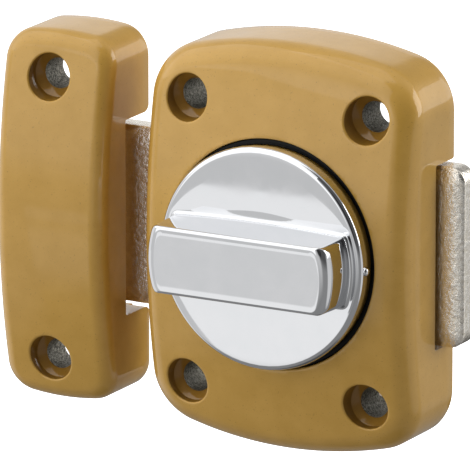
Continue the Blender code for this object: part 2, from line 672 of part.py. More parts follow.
def make_hub_parts(shop, black, steel, nylon):
    ring = turned_mesh(
        "recess_ring",
        (
            (RECESS_RADIUS - 0.1 * MM, RING_TOP),
            (RECESS_RADIUS - 0.1 * MM, RECESS_FLOOR + 0.05 * MM),
            (RING_INNER, RECESS_FLOOR + 0.05 * MM),
            (RING_INNER, RING_TOP),
        ),
        FINE_ROUND,
    )
    shop.part("recess_ring", ring, black)
    bush = turned_mesh(
        "hub_bush",
        (
            (BUSH_FLANGE, BUSH_FLANGE_TOP),
            (BUSH_FLANGE, BUSH_FLANGE_TOP - 1.6 * MM),
            (BUSH_OUTER, BUSH_FLANGE_TOP - 1.6 * MM),
            (BUSH_OUTER, BUSH_BACK),
            (BUSH_INNER, BUSH_BACK),
            (BUSH_INNER, BUSH_FLANGE_TOP),
        ),
    )
    shop.part("hub_bush", bush, nylon)

    inner = CIRCLIP_INNER + 0.05 * MM
    clip_front = CIRCLIP_BACK + CIRCLIP_THICKNESS
    clip = turned_mesh(
        "hub_circlip",
        (
            (CIRCLIP_OUTER, clip_front),
            (CIRCLIP_OUTER, CIRCLIP_BACK),
            (inner, CIRCLIP_BACK),
            (inner, clip_front),
        ),
    )
    circlip = shop.part("hub_circlip", clip, steel, parent=shop.knob_axis)
    mouth = box_mesh("circlip_mouth", (-3 * MM, -14 * MM, 8 * MM), (3 * MM, -4 * MM, 11 * MM))
    boolean(circlip, shop.cutter("circlip_mouth", mouth))
    washer_back = clip_front + 0.15 * MM
    washer = turned_mesh(
        "thrust_washer",
        (
            (12.4 * MM, washer_back + 0.8 * MM),
            (12.4 * MM, washer_back),
            (BUSH_INNER, washer_back),
            (BUSH_INNER, washer_back + 0.8 * MM),
        ),
    )
    shop.part("thrust_washer", washer, steel)


def make_detent(shop, steel):
    """A coil spring in a blind bore, and a ball on it that bears on the back of the knob's disc."""
    ball_z = DISC_BACK - DETENT_BALL_RADIUS - 0.05 * MM
    bm = bmesh.new()
    bmesh.ops.create_uvsphere(bm, u_segments=16, v_segments=10, radius=DETENT_BALL_RADIUS)
    shop.part("detent_ball", as_mesh(bm, "detent_ball", 60.0), steel, at=(0.0, DETENT_Y, ball_z))

    wire = 0.35 * MM
    coil_radius = 1.45 * MM
    turns = 5
    per_turn = 10
    low = DETENT_BORE_BACK + wire + 0.1 * MM
    high = ball_z - DETENT_BALL_RADIUS - wire + 0.2 * MM
    curve = bpy.data.curves.new("detent_spring", "CURVE")
    curve.dimensions = "3D"
    curve.bevel_depth = wire
    curve.bevel_resolution = 2
    curve.use_fill_caps = True
    spline = curve.splines.new("POLY")
    count = turns * per_turn + 1
    spline.points.add(count - 1)
    for i in range(count):
        angle = 2 * math.pi * i / per_turn
        height = low + (high - low) * i / (count - 1)
        spline.points[i].co = (coil_radius * math.cos(angle), coil_radius * math.sin(angle), height, 1.0)
    coil = bpy.data.objects.new("detent_coil", curve)
    shop.parts.objects.link(coil)
    mesh = bpy.data.meshes.new_from_object(coil.evaluated_get(bpy.context.evaluated_depsgraph_get()))
    bpy.data.objects.remove(coil, do_unlink=True)
    bm = bmesh.new()
    bm.from_mesh(mesh)
    bmesh.ops.remove_doubles(bm, verts=bm.verts, dist=0.001 * MM)
    bm.to_mesh(mesh)
    bm.free()
    mesh.name = "detent_spring"
    mesh.shade_smooth()
    mesh.materials.clear()
    shop.part("detent_spring", mesh, steel, at=(0.0, DETENT_Y, 0.0))


def main():
    clear_scene()
    shop = Workshop()
    case_paint = material("gold_paint", (0.50, 0.32, 0.11), 0.32, 0.0)
    keeper_paint = material("keeper_paint", (0.50, 0.32, 0.11), 0.32, 0.0)
    chrome = material("chrome_plate", (0.82, 0.83, 0.85), 0.06, 1.0)
    nickel = material("nickel_plate", (0.66, 0.60, 0.52), 0.32, 1.0)
    black = material("black_plastic", (0.012, 0.012, 0.012), 0.45, 0.0)
    nylon = material("white_nylon", (0.78, 0.77, 0.72), 0.5, 0.0)
    plate_steel = material("zinc_plated_sheet", (0.60, 0.61, 0.60), 0.38, 1.0)
    screw_steel = material("zinc_plated_screws", (0.64, 0.63, 0.56), 0.3, 1.0)
    spring_steel = material("spring_steel", (0.34, 0.34, 0.35), 0.35, 1.0)
    drive_steel = material("drive_steel", (0.42, 0.42, 0.43), 0.36, 1.0)
    brass = material("brass", (0.70, 0.52, 0.22), 0.35, 1.0)

    make_case(shop, case_paint)
    make_keeper(shop, keeper_paint)
    make_back_plate(shop, plate_steel, screw_steel)
    make_bolt(shop, nickel)
    make_guide_pins(shop, drive_steel)
    pin_hole = make_knob(shop, chrome)
    make_drive(shop, drive_steel, brass, pin_hole)
    make_hub_parts(shop, black, spring_steel, nylon)
    make_detent(shop, spring_steel)


main()
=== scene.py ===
"""Looks for the rim bolt latch: painted castings, a nickel bolt and a chrome thumb turn on the CAD frame.

Shapes are worked out as (x, z, depth): x to the right, z up, depth out of the door, which is -Y in the world.
All lengths are in metres.
"""

import json
import math

import bmesh
import bpy
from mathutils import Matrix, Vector, noise


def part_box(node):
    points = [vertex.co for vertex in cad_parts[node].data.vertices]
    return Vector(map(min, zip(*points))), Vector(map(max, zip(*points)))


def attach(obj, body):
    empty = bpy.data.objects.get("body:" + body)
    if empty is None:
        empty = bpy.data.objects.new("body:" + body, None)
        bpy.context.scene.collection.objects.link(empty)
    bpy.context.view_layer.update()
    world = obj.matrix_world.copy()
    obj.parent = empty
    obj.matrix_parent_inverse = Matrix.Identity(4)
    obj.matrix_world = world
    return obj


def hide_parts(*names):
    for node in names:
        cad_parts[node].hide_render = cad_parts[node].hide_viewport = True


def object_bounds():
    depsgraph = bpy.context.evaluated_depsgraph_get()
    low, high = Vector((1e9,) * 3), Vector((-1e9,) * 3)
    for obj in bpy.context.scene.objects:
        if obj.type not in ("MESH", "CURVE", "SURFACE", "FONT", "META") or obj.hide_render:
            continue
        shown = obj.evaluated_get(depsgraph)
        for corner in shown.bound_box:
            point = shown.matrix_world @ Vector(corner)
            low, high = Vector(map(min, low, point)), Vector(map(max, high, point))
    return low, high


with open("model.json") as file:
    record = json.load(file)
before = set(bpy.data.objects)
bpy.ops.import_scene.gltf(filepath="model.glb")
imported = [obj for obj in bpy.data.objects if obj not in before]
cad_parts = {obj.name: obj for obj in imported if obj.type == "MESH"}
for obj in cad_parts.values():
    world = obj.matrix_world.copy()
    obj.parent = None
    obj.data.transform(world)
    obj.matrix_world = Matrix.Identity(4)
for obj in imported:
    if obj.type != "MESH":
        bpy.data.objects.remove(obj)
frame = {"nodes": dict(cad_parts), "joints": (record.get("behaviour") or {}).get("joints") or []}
cad_low, cad_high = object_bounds()

MM = 0.001

# Crown, edges and holes of the two castings
CASE_ARCH = 5.4 * MM
CASE_CORNER = 11.2 * MM
CASE_DEPTH = 23.6 * MM
CASE_DROP = (2.4 * MM, 6.6 * MM)
CASE_FILLET = 4.5 * MM
KEEPER_ARCH = 1.5 * MM
KEEPER_CORNER = 6.4 * MM
KEEPER_DROP = (0.5 * MM, 5.3 * MM)
KEEPER_FILLET = 3.2 * MM
BACK_EDGE = 0.4 * MM
HOLE_X = 20.75 * MM
HOLE_Z = 30.0 * MM
HOLE_RADIUS = 3.25 * MM
COUNTERBORE_RADIUS = 4.85 * MM
COUNTERBORE_DEPTH = 3.1 * MM
SEAT_DEPTH = 1.2 * MM
MOUTH_ROUND = 0.45 * MM
KEEPER_HOLE_X = -54.3 * MM

# Inside of the case
CHANNEL_HALF_HEIGHT = 19.45 * MM
CHANNEL_DEPTH = 8.2 * MM
CHANNEL_ROUND = 1.1 * MM
CASE_RELIEF_X = (12.2 * MM, 22.2 * MM)
CASE_RELIEF_Z = (21.0 * MM, 31.4 * MM)
CASE_RELIEF_DEPTH = 7.0 * MM
RELIEF_CORNER = 1.6 * MM
SIDE_CORE_X = (19.6 * MM, 27.4 * MM)
SIDE_CORE_Z = (1.2 * MM, 18.0 * MM)
SIDE_CORE_DEPTH = 15.6 * MM
END_CORE_COLUMNS = (-9.6 * MM, 0.0, 9.6 * MM)
END_CORE_HALF_WIDTH = 4.2 * MM
END_CORE_Z = (28.4 * MM, 38.0 * MM)
END_CORE_DEPTH = 14.2 * MM
RECESS_RADIUS = 24.15 * MM
RECESS_FLOOR = 18.6 * MM
RECESS_ROUND = 0.45 * MM
RECESS_WALL_TOP = 19.8 * MM
SEAT_GAP = 0.3 * MM
HUB_BORE_RADIUS = 10.05 * MM
HUB_BORE_BACK = 10.4 * MM
CIRCLIP_ROOM_RADIUS = 13.0 * MM
CIRCLIP_ROOM_DEPTH = 11.4 * MM
DETENT_BORE_RADIUS = 2.15 * MM
DETENT_BORE_BACK = 10.0 * MM
PIN_SOCKET_RADIUS = 2.02 * MM
PIN_SOCKET_DEPTH = 11.0 * MM
PLATE_SCREW_RADIUS = 1.28 * MM
PLATE_SCREW_DEPTH = 9.5 * MM

# Inside of the keeper
POCKET_HALF_HEIGHT = 20.9 * MM
POCKET_DEPTH = 10.1 * MM
POCKET_CORNER = 2.2 * MM
POCKET_LEFT = -63.2 * MM
KEEPER_WALL = 3.0 * MM
KEEPER_CORE_DEPTH = 15.8 * MM
KEEPER_RELIEF_X = (-63.2 * MM, -44.4 * MM)
KEEPER_RELIEF_Z = (22.6 * MM, 36.4 * MM)
KEEPER_RELIEF_DEPTH = 6.0 * MM

# Knob
DISC_THICKNESS = 5.2 * MM
DISC_EDGE = 1.15 * MM
DISC_DOME = 0.35 * MM
GRIP_HALF_WIDTH = 7.1 * MM
GRIP_BASE_END = 7.35 * MM
GRIP_BASE_MIDDLE = 7.95 * MM
GRIP_END_FRONT = 21.2 * MM
GRIP_END_BASE = 21.0 * MM
GRIP_CORNER_BASE = 1.2 * MM
GRIP_CORNER_FRONT = 2.2 * MM
GRIP_EDGE = 0.7 * MM
GRIP_END_EDGE = 2.2 * MM
GRIP_COVE = 0.7 * MM
NIB_DEPTH = 24.1 * MM
NIB_RADIUS = 1.0 * MM
HUB_RADIUS = 8.0 * MM
HUB_GROOVE_RADIUS = 7.0 * MM
HUB_GROOVE = (8.9 * MM, 10.1 * MM)
SOCKET_HALF = 3.55 * MM
SOCKET_DEPTH = 18.2 * MM
DRIVE_PIN_RADIUS = 1.05 * MM
DIMPLE_RADIUS = 2.2 * MM
DIMPLE_LIFT = 1.85 * MM
RING_INNER_RADIUS = 18.5 * MM
RING_EASE = 0.3 * MM

# Bolt
BOLT_ROUND = 4.3 * MM
BOLT_ROUND_DEPTH = 1.3 * MM
BOLT_CORNER = 3.4 * MM
BOLT_BACK_EDGE = 0.5 * MM
BOLT_SPACING = 0.55 * MM
PIN_SLOT_RADIUS = 2.2 * MM
RACK_MODULE = 1.0 * MM
RACK_PITCH_LINE = 6.5 * MM
WINDOW_X = (-28.82 * MM, 8.4 * MM)
WINDOW_BOTTOM = -8.2 * MM


def at(x, z, depth):
    return Vector((x, -depth, z))


# ---------------------------------------------------------------------------------------------- mesh tools


def finish_mesh(bm, name, smooth_angle=35.0):
    bmesh.ops.recalc_face_normals(bm, faces=bm.faces)
    mesh = bpy.data.meshes.new(name)
    bm.to_mesh(mesh)
    bm.free()
    mesh.shade_smooth()
    mesh.set_sharp_from_angle(angle=math.radians(smooth_angle))
    return mesh


def new_object(name, mesh):
    made = bpy.data.objects.new(name, mesh)
    bpy.context.scene.collection.objects.link(made)
    return made


def skin(rings, fan_ends=True):
    """A closed body through rings of equal point counts, each end closed by a fan or one face."""
    bm = bmesh.new()
    loops = [[bm.verts.new(point) for point in ring] for ring in rings]
    for lower, upper in zip(loops, loops[1:]):
        for i in range(len(lower)):
            bm.faces.new((lower[i - 1], lower[i], upper[i], upper[i - 1]))
    for loop in (loops[0], loops[-1]):
        if fan_ends:
            centre = bm.verts.new(sum((v.co for v in loop), Vector()) / len(loop))
            for i in range(len(loop)):
                bm.faces.new((loop[i - 1], loop[i], centre))
        else:
            bm.faces.new(loop)
    return bm


def circle(radius, depth, steps=128, centre=(0.0, 0.0)):
    centre_x, centre_z = centre
    points = []
    for i in range(steps):
        angle = 2 * math.pi * i / steps
        points.append(at(centre_x + radius * math.cos(angle), centre_z + radius * math.sin(angle), depth))
    return points


def turned(name, profile, steps=128):
    """A ring turned round the knob's axis from a closed profile of (radius, depth) points."""
    bm = bmesh.new()
    loops = [[bm.verts.new(point) for point in circle(radius, depth, steps)] for radius, depth in profile]
    for lower, upper in zip(loops, loops[1:] + loops[:1]):
        for i in range(steps):
            bm.faces.new((lower[i - 1], lower[i], upper[i], upper[i - 1]))
    return finish_mesh(bm, name)


def arc(centre, radius, start, end, steps):
    """Points on an arc, angles in degrees."""
    points = []
    for i in range(steps + 1):
        angle = math.radians(start + (end - start) * i / steps)
        points.append((centre[0] + radius * math.cos(angle), centre[1] + radius * math.sin(angle)))
    return points


def bore_cutter(radius, start, end, steps=128, centre=(0.0, 0.0)):
    """A round bore between two depths."""
    rings = [circle(radius, depth, steps, centre) for depth in (start, end)]
    return finish_mesh(skin(rings), "cutter")


def box_cutter(low, high):
    """A box between two (x, z, depth) corners."""
    bm = bmesh.new()
    bmesh.ops.create_cube(bm, size=1.0)
    a, b = at(*low), at(*high)
    for vert in bm.verts:
        vert.co = (a + b) / 2 + Vector(c * abs(s) for c, s in zip(vert.co, b - a))
    return finish_mesh(bm, "cutter")


def cut(piece, cutters):
    """Takes all the cutter meshes out of the piece in one exact Boolean, and applies it."""
    group = bpy.data.collections.new(f"{piece.name}_cutters")
    bpy.context.scene.collection.children.link(group)
    tools = []
    for mesh in cutters:
        tool = bpy.data.objects.new("cutter", mesh)
        group.objects.link(tool)
        tools.append(tool)
    step = piece.modifiers.new("cut", "BOOLEAN")
    step.operation = "DIFFERENCE"
    step.solver = "EXACT"
    step.operand_type = "COLLECTION"
    step.collection = group
    apply_modifiers(piece)
    for tool in tools:
        bpy.data.objects.remove(tool, do_unlink=True)
    bpy.data.collections.remove(group)


def apply_modifiers(piece):
    depsgraph = bpy.context.evaluated_depsgraph_get()
    old = piece.data
    mesh = bpy.data.meshes.new_from_object(piece.evaluated_get(depsgraph))
    mesh.validate()
    piece.modifiers.clear()
    piece.data = mesh
    bpy.data.meshes.remove(old)


def middle_of(node):
    low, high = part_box(node)
    return (low + high) / 2


def resmooth(piece, smooth_angle):
    piece.data.shade_smooth()
    piece.data.set_sharp_from_angle(angle=math.radians(smooth_angle))


# ---------------------------------------------------------------------------------------------- castings


class Casting:
    """Outline, crown and place of one painted casting."""

    def __init__(self, node, arch, corner, drop, fillet, depth=None):
        low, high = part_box(node)
        self.x = (low.x + high.x) / 2
        self.half_width = (high.x - low.x) / 2
        self.half_height = (high.z - low.z) / 2
        self.depth = depth or -low.y
        self.arch = arch
        self.corner = corner
        self.drop = drop
        self.fillet = fillet

    def front(self, x, z):
        """Depth of the crowned front at a place in the world."""
        across = self.drop[0] * ((x - self.x) / self.half_width) ** 2
        return self.depth - across - self.drop[1] * (z / self.half_height) ** 2

    def outline(self, inset):
        """Points round the arched rectangle, moved in by inset."""
        corner_steps, arch_steps, side_steps = 20, 30, 26
        arch_radius = (self.half_width**2 + self.arch**2) / (2 * self.arch)
        arch_centre = self.half_height - arch_radius
        corner_x = self.half_width - self.corner
        corner_z = arch_centre + math.sqrt((arch_radius - self.corner) ** 2 - corner_x**2)
        blend = math.degrees(math.atan2(corner_z - arch_centre, corner_x))
        side = self.half_width - inset
        quarter = [(side, corner_z * i / side_steps) for i in range(side_steps)]
        quarter += arc((corner_x, corner_z), self.corner - inset, 0, blend, corner_steps)[:-1]
        quarter += arc((0.0, arch_centre), arch_radius - inset, blend, 90, arch_steps)
        half = quarter + [(-x, z) for x, z in reversed(quarter[:-1])]
        full = half + [(x, -z) for x, z in reversed(half[1:-1])]
        return [(self.x + x, z) for x, z in full]

    def body(self):
        """The uncut casting: eased back edge, straight sides, round front edge, crowned front."""
        rings = []
        for turn in (0, 30, 60, 90):
            inset = BACK_EDGE * (1 - math.sin(math.radians(turn)))
            depth = BACK_EDGE * (1 - math.cos(math.radians(turn)))
            rings.append([at(x, z, depth) for x, z in self.outline(inset)])
        edge = self.outline(0.0)
        for share in (0.2, 0.4, 0.6, 0.8):
            ring = []
            for x, z in edge:
                shoulder = self.front(x, z) - self.fillet
                ring.append(at(x, z, BACK_EDGE + (shoulder - BACK_EDGE) * share))
            rings.append(ring)
        steps = 14
        for i in range(steps + 1):
            turn = math.pi / 2 * i / steps
            ring = []
            for x, z in self.outline(self.fillet * (1 - math.cos(turn))):
                ring.append(at(x, z, self.front(x, z) - self.fillet * (1 - math.sin(turn))))
            rings.append(ring)
        inner = self.outline(self.fillet)
        steps = 30
        for i in range(1, steps):
            share = 1 - i / steps
            ring = []
            for x, z in inner:
                moved = (self.x + (x - self.x) * share, z * share)
                ring.append(at(*moved, self.front(*moved)))
            rings.append(ring)
        return skin(rings)

    def mouth_cutter(self, centre, radius, rounding, inner, steps=72):
        """A round hole, its mouth rounded along the crowned front; inner is its (radius, depth) profile."""

        def crowned(reach, rise):
            flat = circle(reach, 0.0, steps, centre)
            return [at(p.x, p.z, self.front(p.x, p.z) + rise) for p in flat]

        rings = [circle(reach, depth, steps, centre) for reach, depth in inner]
        for turn in (0, 20, 40, 58, 74):
            spread = rounding * (1 - math.cos(math.radians(turn)))
            sink = rounding * (1 - math.sin(math.radians(turn)))
            rings.append(crowned(radius + spread, -sink))
        for rise in (0.07 * MM, 4 * MM):
            rings.append(crowned(radius + rounding * 1.45, rise))
        return finish_mesh(skin(rings), "cutter")

    def screw_hole_cutter(self, x, z):
        seat = self.front(x, z) - COUNTERBORE_DEPTH
        low_side = min(self.front(x, abs(z) + COUNTERBORE_RADIUS), seat + COUNTERBORE_DEPTH)
        inner = [
            (HOLE_RADIUS, -MM),
            (HOLE_RADIUS, seat - SEAT_DEPTH - 0.15 * MM),
            (HOLE_RADIUS + 0.12 * MM, seat - SEAT_DEPTH),
            (COUNTERBORE_RADIUS - 0.35 * MM, seat - 0.1 * MM),
            (COUNTERBORE_RADIUS - 0.1 * MM, seat + 0.08 * MM),
            (COUNTERBORE_RADIUS, seat + 0.4 * MM),
            (COUNTERBORE_RADIUS, low_side - 1.6 * MM),
        ]
        return self.mouth_cutter((x, z), COUNTERBORE_RADIUS, MOUTH_ROUND, inner)


def slot_cutter(left, right, half_height, depth, rounding):
    """A channel along x that is open at the back, with eased back corners and a small inner radius."""
    inner = 0.45 * MM
    half = [(half_height + rounding, -MM), (half_height + rounding, 0.0)]
    half += arc((half_height + rounding, rounding), rounding, 270, 180, 8)[1:]
    half += arc((half_height - inner, depth - inner), inner, 0, 90, 4)
    section = half + [(-z, d) for z, d in reversed(half)]
    rings = [[at(x, z, d) for z, d in section] for x in (left, right)]
    return finish_mesh(skin(rings, fan_ends=False), "cutter")


def relief_cutter(xs, zs, depth):
    """A pocket from the back with round corners, slightly narrower at its floor."""
    left, right = xs[0] + RELIEF_CORNER, xs[1] - RELIEF_CORNER
    low, high = zs[0] + RELIEF_CORNER, zs[1] - RELIEF_CORNER
    centres = ((right, high), (left, high), (left, low), (right, low))
    levels = ((-MM, 0.0), (depth * 0.5, 0.1 * MM), (depth - 0.5 * MM, 0.15 * MM), (depth, 0.6 * MM))
    rings = []
    for level, inset in levels:
        loop = []
        for quarter, centre in enumerate(centres):
            loop += arc(centre, RELIEF_CORNER - inset, quarter * 90, quarter * 90 + 90, 6)
        rings.append([at(x, z, level) for x, z in loop])
    return finish_mesh(skin(rings, fan_ends=False), "cutter")


def core_cutters():
    """The pockets that lighten the case from behind, alike on both sides and at both ends."""
    cutters = []
    for side in (-1, 1):
        for lift in (-1, 1):
            left, right = sorted(side * x for x in SIDE_CORE_X)
            low, high = sorted(lift * z for z in SIDE_CORE_Z)
            cutters.append(box_cutter((left, low, CHANNEL_DEPTH - MM), (right, high, SIDE_CORE_DEPTH)))
            xs = sorted(side * x for x in CASE_RELIEF_X)
            zs = sorted(lift * z for z in CASE_RELIEF_Z)
            cutters.append(relief_cutter(xs, zs, CASE_RELIEF_DEPTH))
        low, high = sorted(side * z for z in END_CORE_Z)
        for column in END_CORE_COLUMNS:
            left, right = column - END_CORE_HALF_WIDTH, column + END_CORE_HALF_WIDTH
            cutters.append(box_cutter((left, low, -MM), (right, high, END_CORE_DEPTH)))
    return cutters


def build_case():
    casting = Casting("case_shell", CASE_ARCH, CASE_CORNER, CASE_DROP, CASE_FILLET, CASE_DEPTH)
    case = new_object("case_body", finish_mesh(casting.body(), "case_body"))
    reach = casting.half_width + 5 * MM
    cutters = [slot_cutter(-reach, reach, CHANNEL_HALF_HEIGHT, CHANNEL_DEPTH, CHANNEL_ROUND)]

    plate_low, plate_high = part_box("back_plate")
    seat_x, seat_z = plate_high.x + SEAT_GAP, plate_high.z + SEAT_GAP
    seat_floor = -plate_low.y + 0.05 * MM
    cutters.append(box_cutter((-seat_x, -seat_z, -MM), (seat_x, seat_z, seat_floor)))
    wall = [
        (RECESS_RADIUS - 0.3 * MM, RECESS_FLOOR),
        (RECESS_RADIUS, RECESS_FLOOR + 0.3 * MM),
        (RECESS_RADIUS, RECESS_WALL_TOP),
    ]
    cutters.append(casting.mouth_cutter((0.0, 0.0), RECESS_RADIUS, RECESS_ROUND, wall, steps=192))
    flange_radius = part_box("hub_bush")[1].x + SEAT_GAP
    cutters.append(bore_cutter(flange_radius, RECESS_FLOOR - 0.3 * MM, RECESS_FLOOR + MM))
    cutters.append(bore_cutter(HUB_BORE_RADIUS, HUB_BORE_BACK, RECESS_FLOOR))
    cutters.append(bore_cutter(CIRCLIP_ROOM_RADIUS, CHANNEL_DEPTH - MM, CIRCLIP_ROOM_DEPTH))
    ball = (0.0, middle_of("detent_ball").z)
    cutters.append(bore_cutter(DETENT_BORE_RADIUS, DETENT_BORE_BACK, RECESS_FLOOR + MM, 32, ball))
    for node in ("guide_pin_upper", "guide_pin_lower"):
        pin = middle_of(node)
        place = (pin.x, pin.z)
        cutters.append(bore_cutter(PIN_SOCKET_RADIUS, CHANNEL_DEPTH - MM, PIN_SOCKET_DEPTH, 32, place))
    for number in range(1, 5):
        screw = middle_of(f"back_plate_screw_{number}")
        cutters.append(bore_cutter(PLATE_SCREW_RADIUS, 0.0, PLATE_SCREW_DEPTH, 24, (screw.x, screw.z)))
    cutters += core_cutters()
    places = [(x, z) for x in (-HOLE_X, HOLE_X) for z in (-HOLE_Z, HOLE_Z)]
    for place in places:
        cutters.append(casting.screw_hole_cutter(*place))
    cut(case, cutters)
    resmooth(case, 35.0)
    return case, casting, places


def build_keeper():
    casting = Casting("keeper", KEEPER_ARCH, KEEPER_CORNER, KEEPER_DROP, KEEPER_FILLET)
    keeper = new_object("keeper_body", finish_mesh(casting.body(), "keeper_body"))
    right = casting.x + casting.half_width
    cutters = [slot_cutter(POCKET_LEFT, right + 5 * MM, POCKET_HALF_HEIGHT, POCKET_DEPTH, CHANNEL_ROUND)]
    low = (POCKET_LEFT, -POCKET_HALF_HEIGHT, MM)
    high = (right - KEEPER_WALL, POCKET_HALF_HEIGHT, KEEPER_CORE_DEPTH)
    cutters.append(box_cutter(low, high))
    cutters += [wall_corner_cutter(right, -1), wall_corner_cutter(right, 1)]
    places = [(KEEPER_HOLE_X, -HOLE_Z), (KEEPER_HOLE_X, HOLE_Z)]
    for place in places:
        cutters.append(casting.screw_hole_cutter(*place))
    for lift in (-1, 1):
        zs = sorted(lift * z for z in KEEPER_RELIEF_Z)
        cutters.append(relief_cutter(KEEPER_RELIEF_X, zs, KEEPER_RELIEF_DEPTH))
    cut(keeper, cutters)
    resmooth(keeper, 35.0)
    return keeper, casting, places


def wall_corner_cutter(right, lift):
    """Rounds the back corner that the pocket leaves in the side wall, above (1) or below (-1) the bolt."""
    outline = [(-MM, POCKET_HALF_HEIGHT - MM), (POCKET_CORNER, POCKET_HALF_HEIGHT - MM)]
    outline += arc((POCKET_CORNER, POCKET_HALF_HEIGHT + POCKET_CORNER), POCKET_CORNER, -90, -180, 8)
    outline.append((-MM, POCKET_HALF_HEIGHT + POCKET_CORNER))
    ends = (right - KEEPER_WALL - MM, right + MM)
    rings = [[at(x, lift * z, depth) for depth, z in outline] for x in ends]
    return finish_mesh(skin(rings, fan_ends=False), "cutter")


def mark_holes(piece, casting, places):
    """Bare metal (material 1) in the clearance holes, darker paint (material 2) in the counterbores as
    painted shade.
    """
    for face in piece.data.polygons:
        middle = face.center
        upright = abs(face.normal.y) < 0.5
        for x, z in places:
            seat = casting.front(x, z) - COUNTERBORE_DEPTH
            reach = math.hypot(middle.x - x, middle.z - z)
            if upright and reach < HOLE_RADIUS + 0.1 * MM and -middle.y < seat - SEAT_DEPTH:
                face.material_index = 1
            # counterbore walls and seats get the darker copy of the paint: painted shade in the recess
            elif reach < COUNTERBORE_RADIUS + 0.04 * MM and -middle.y > seat - SEAT_DEPTH - 0.2 * MM:
                face.material_index = 2


# ---------------------------------------------------------------------------------------------- knob


def grip_outline(half_width, bulge, end_radius, corner, grow, end_grow=None):
    """The grip's plan as (x, z, endness): bulged sides, ends round the knob's axis, small round corners."""
    side_steps, end_steps, corner_steps = 22, 8, 8
    half_width += grow
    end_radius += grow if end_grow is None else end_grow
    corner = max(corner + grow, 0.2 * MM)
    centre_z = half_width - corner
    centre_x = math.sqrt((end_radius - corner) ** 2 - centre_z**2)
    meet = math.degrees(math.atan2(centre_z, centre_x))
    quarter = [(x, z, 1.0) for x, z in arc((0.0, 0.0), end_radius, 0, meet, end_steps)[:-1]]
    for i, (x, z) in enumerate(arc((centre_x, centre_z), corner, meet, 90, corner_steps)[:-1]):
        quarter.append((x, z, 0.5 + 0.5 * math.cos(math.pi * i / corner_steps)))
    for i in range(side_steps + 1):
        x = centre_x * (1 - i / side_steps)
        quarter.append((x, half_width + bulge * (1 - (x / centre_x) ** 2), 0.0))
    half = quarter + [(-x, z, end) for x, z, end in reversed(quarter[:-1])]
    return half + [(x, -z, end) for x, z, end in reversed(half[1:-1])]


def build_knob():
    low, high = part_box("thumb_knob")
    grip_front = -low.y
    hub_back = -high.y
    radius = (high.z - low.z) / 2
    disc_back = -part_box("recess_ring")[0].y + 0.3 * MM
    disc_front = disc_back + DISC_THICKNESS

    def face_depth(x, z):
        return disc_front - DISC_DOME * (math.hypot(x, z) / radius) ** 2

    bulge = GRIP_BASE_MIDDLE - GRIP_BASE_END
    base = grip_outline(GRIP_BASE_END, bulge, GRIP_END_BASE, GRIP_CORNER_BASE, GRIP_COVE)
    angles = [math.atan2(z, x) for x, z, _ in base]

    def round_ring(r, depth):
        return [at(r * math.cos(a), r * math.sin(a), depth) for a in angles]

    back = ((HUB_RADIUS, hub_back), (HUB_RADIUS, disc_back), (radius, disc_back))
    rings = [round_ring(reach, depth) for reach, depth in back]
    rim_depth = face_depth(radius, 0.0)
    for share in (0.5, 1.0):
        rings.append(round_ring(radius, disc_back + (rim_depth - DISC_EDGE - disc_back) * share))
    steps = 10
    for i in range(1, steps + 1):
        turn = math.pi / 2 * i / steps
        r = radius - DISC_EDGE * (1 - math.cos(turn))
        rings.append(round_ring(r, rim_depth - DISC_EDGE * (1 - math.sin(turn))))
    inner_radius = radius - DISC_EDGE
    steps = 8
    for i in range(1, steps + 1):
        share = i / steps
        ring = []
        for angle, (bx, bz, _) in zip(angles, base):
            x = inner_radius * math.cos(angle) * (1 - share) + bx * share
            z = inner_radius * math.sin(angle) * (1 - share) + bz * share
            ring.append(at(x, z, face_depth(x, z)))
        rings.append(ring)
    steps = 8
    for i in range(1, steps + 1):
        turn = math.pi / 2 * i / steps
        rise = GRIP_COVE * (1 - math.cos(turn))
        grow = GRIP_COVE * (1 - math.sin(turn))
        outline = grip_outline(GRIP_BASE_END, bulge, GRIP_END_BASE, GRIP_CORNER_BASE, grow)
        rings.append([at(x, z, face_depth(x, z) + rise) for x, z, _ in outline])

    def wall(share, turn=0.0):
        """A ring up the grip's side by share, then over its front edge by turn."""
        over = 1 - math.cos(turn)
        width = GRIP_BASE_END + (GRIP_HALF_WIDTH - GRIP_BASE_END) * share
        end = GRIP_END_BASE + (GRIP_END_FRONT - GRIP_END_BASE) * share
        corner = GRIP_CORNER_BASE + (GRIP_CORNER_FRONT - GRIP_CORNER_BASE) * share
        grow, end_grow = -GRIP_EDGE * over, -GRIP_END_EDGE * over
        outline = grip_outline(width, bulge * (1 - share), end, corner, grow, end_grow)
        ring = []
        for x, z, endness in outline:
            edge = GRIP_EDGE + (GRIP_END_EDGE - GRIP_EDGE) * endness
            foot = face_depth(x, z) + GRIP_COVE
            top = grip_front - edge
            ring.append(at(x, z, foot + (top - foot) * share + edge * math.sin(turn)))
        return ring

    steps = 10
    for i in range(1, steps + 1):
        rings.append(wall(i / steps))
    steps = 10
    for i in range(1, steps + 1):
        rings.append(wall(1.0, math.pi / 2 * i / steps))
    last = rings[-1]
    for share in (0.8, 0.5, 0.2):
        rings.append([Vector((p.x, p.y, p.z * share)) for p in last])
    knob = new_object("knob_casting", finish_mesh(skin(rings, fan_ends=False), "knob_casting", 40.0))

    cutters = hub_cutters(hub_back)
    ball_z = middle_of("detent_ball").z
    for z in (-ball_z, ball_z):
        cutters.append(dimple_cutter(z, disc_back))
    cut(knob, cutters)
    resmooth(knob, 40.0)
    return knob


